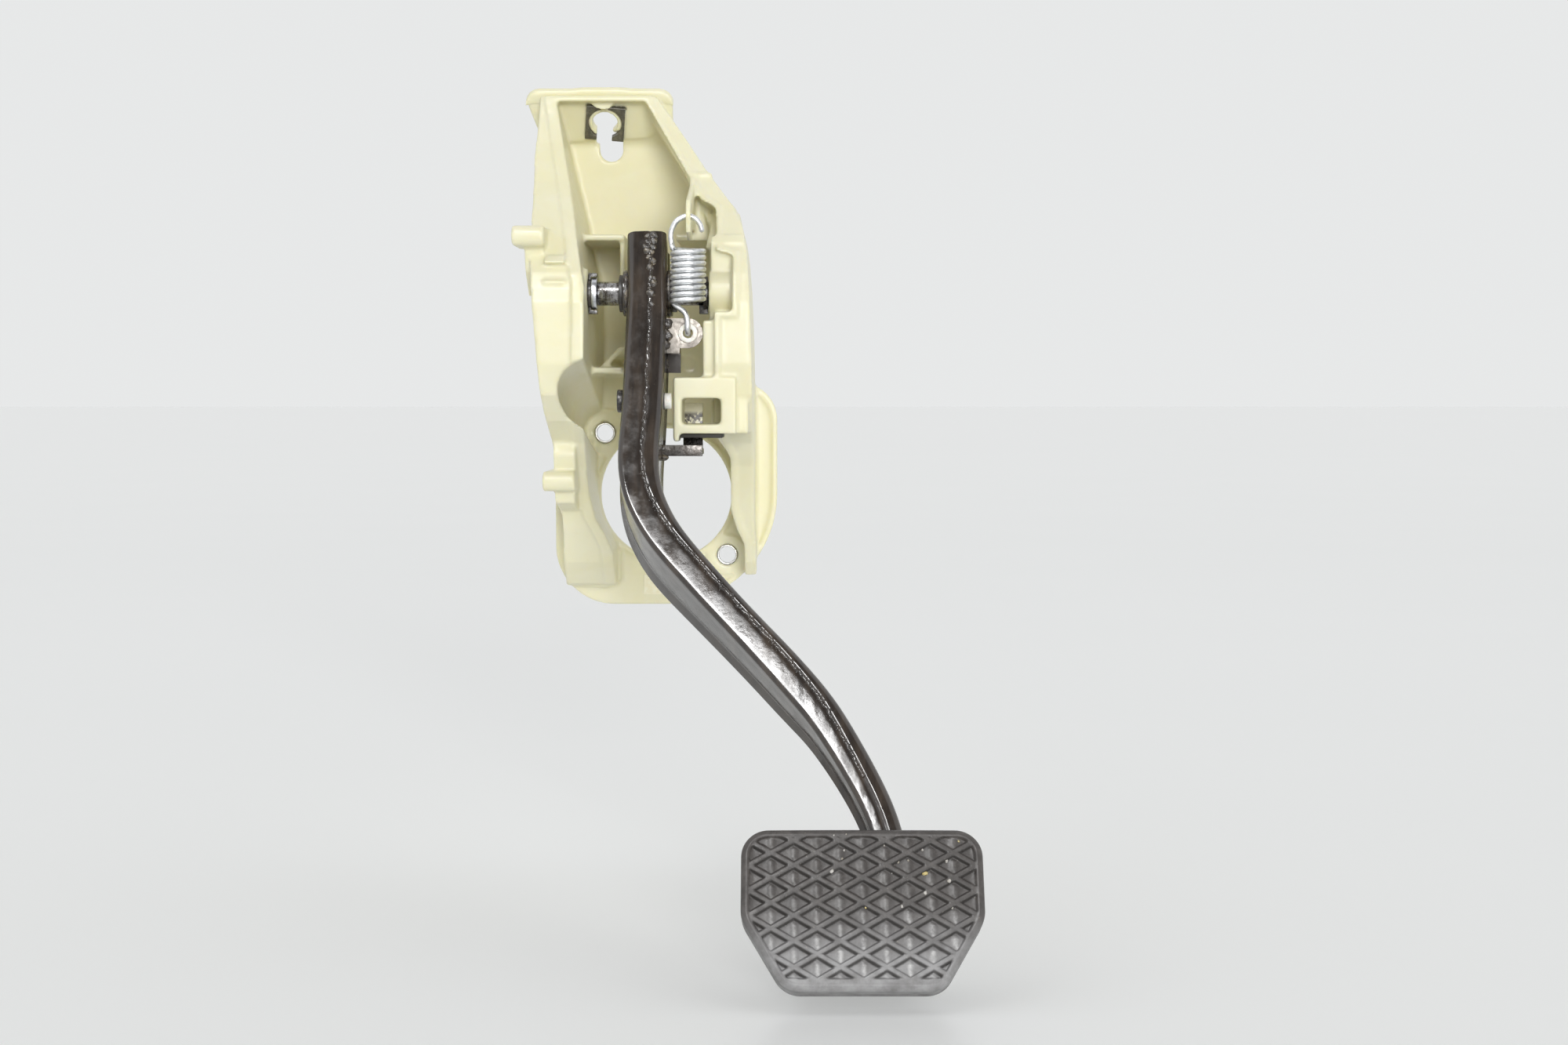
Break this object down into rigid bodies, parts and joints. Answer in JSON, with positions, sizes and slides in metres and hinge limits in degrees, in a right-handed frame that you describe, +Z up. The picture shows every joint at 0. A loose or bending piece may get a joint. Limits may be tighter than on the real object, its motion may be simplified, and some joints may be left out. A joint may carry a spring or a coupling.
{
  "type": "brake pedal",
  "caption": "Suspended brake pedal: cream plastic bulkhead bracket with a black S-bent steel arm, rubber foot pad, return spring, pivot axle and stop-lamp switch seat.",
  "frame": {"origin": "centre of the booster opening, on the face that bolts to the bulkhead", "axes": "+X to the driver's right, +Y forward through the bulkhead, +Z up"},
  "size_m": [0.2056, 0.2777, 0.3905],
  "materials": {
    "cream_nylon": "moulded glass-filled nylon, pale yellow, softly glossy",
    "sleeve_steel": "turned bare steel",
    "clamp_steel": "dark phosphated steel",
    "axle_steel": "greased steel",
    "collar_zinc": "zinc plated",
    "clip_black": "black, oily",
    "buffer_rubber": "black rubber",
    "label_film": "blank film",
    "arm_paint": "glossy brown-black dip paint",
    "bush_plastic": "black plastic, greased",
    "white_plastic": "off-white plastic",
    "lug_steel": "nickel coloured plating, dull",
    "spring_zinc": "bright zinc",
    "tab_steel": "dark steel with a bright edge",
    "pad_rubber": "worn grey-black rubber with dust"
  },
  "bodies": {
    "bracket": {"bracket": "cream_nylon", "bolt_sleeve_upper": "sleeve_steel", "bolt_sleeve_lower": "sleeve_steel", "top_clamp_plate": "clamp_steel", "pivot_axle": "axle_steel", "axle_collar": "collar_zinc", "axle_clip": "clip_black", "axle_washer": "clip_black", "stop_buffer": "buffer_rubber", "blank_label": "label_film", "return_spring": "spring_zinc"},
    "pedal": {"hub_tube": "arm_paint", "bush_left": "bush_plastic", "bush_right": "bush_plastic", "arm_left_shell": "arm_paint", "arm_right_shell": "arm_paint", "pushrod_pin": "clip_black", "pushrod_sleeve": "white_plastic", "spring_lug": "lug_steel", "spring_eyelet": "white_plastic", "switch_tab": "tab_steel", "pad_plate": "arm_paint", "pad_rubber": "pad_rubber"}
  },
  "joints": [
    {"name": "pedal_pivot", "type": "hinge", "parent": "bracket", "child": "pedal", "pos_m": [0, -0.095, 0.097], "axis": [1, 0, 0], "range_deg": [0, 20], "stiffness_Nm_per_rad": 2.4, "springref_deg": -34.38, "deforming": ["return_spring"]}
  ]
}
